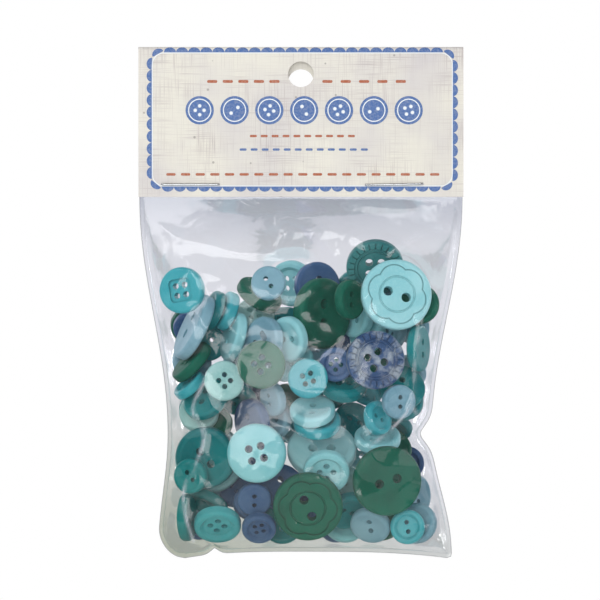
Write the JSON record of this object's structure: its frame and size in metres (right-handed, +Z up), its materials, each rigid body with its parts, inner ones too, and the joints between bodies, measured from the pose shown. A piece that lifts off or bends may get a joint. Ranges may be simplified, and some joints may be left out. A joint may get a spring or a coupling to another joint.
{
  "type": "bag of buttons with a header card",
  "caption": "Clear film bag of loose moulded sewing buttons, closed by a folded card header with wire staples and a punched hang hole.",
  "frame": {"origin": "on the axis of the hole in the front leaf, on the plane where the two films meet", "axes": "+X to the right seen from the front, +Y away from the viewer, +Z up towards the fold"},
  "size_m": [0.07, 0.0264, 0.1101],
  "materials": {
    "card_stock": "uncoated printed card, cream with a blue scalloped border",
    "staple_wire": "plain steel wire",
    "clear_film": "clear polythene film",
    "aqua_plastic": "moulded plastic, light aqua",
    "pale_plastic": "moulded plastic, pale aqua",
    "turquoise_plastic": "moulded plastic, turquoise",
    "teal_plastic": "moulded plastic, teal",
    "sea_plastic": "moulded plastic, sea green",
    "dusty_plastic": "moulded plastic, dusty blue",
    "navy_plastic": "moulded plastic, navy",
    "green_plastic": "moulded plastic, forest green"
  },
  "bodies": {
    "root": {"header_card": "card_stock", "left_staple": "staple_wire", "right_staple": "staple_wire", "bag": "clear_film", "aqua_flower_buttons": "aqua_plastic", "green_flower_buttons": "green_plastic", "green_plain_buttons": "green_plastic", "green_large_buttons": "green_plastic", "dusty_large_buttons": "dusty_plastic", "aqua_large_buttons": "aqua_plastic", "teal_large_buttons": "teal_plastic", "aqua_domed_buttons": "aqua_plastic", "sea_notched_buttons": "sea_plastic", "navy_notched_buttons": "navy_plastic", "teal_cup_buttons": "teal_plastic", "aqua_medium_buttons": "aqua_plastic", "dusty_slotted_buttons": "dusty_plastic", "green_medium_buttons": "green_plastic", "navy_medium_buttons": "navy_plastic", "turquoise_medium_buttons": "turquoise_plastic", "teal_medium_buttons": "teal_plastic", "aqua_rimmed_buttons": "aqua_plastic", "turquoise_square_buttons": "turquoise_plastic", "aqua_two_hole_buttons": "aqua_plastic", "teal_two_hole_buttons": "teal_plastic", "dusty_medium_buttons": "dusty_plastic", "green_small_buttons": "green_plastic", "turquoise_four_hole_buttons": "turquoise_plastic", "pale_four_hole_buttons": "pale_plastic", "teal_small_buttons": "teal_plastic", "turquoise_small_buttons": "turquoise_plastic", "navy_four_hole_buttons": "navy_plastic", "navy_small_buttons": "navy_plastic", "dusty_small_buttons": "dusty_plastic"}
  },
  "joints": []
}
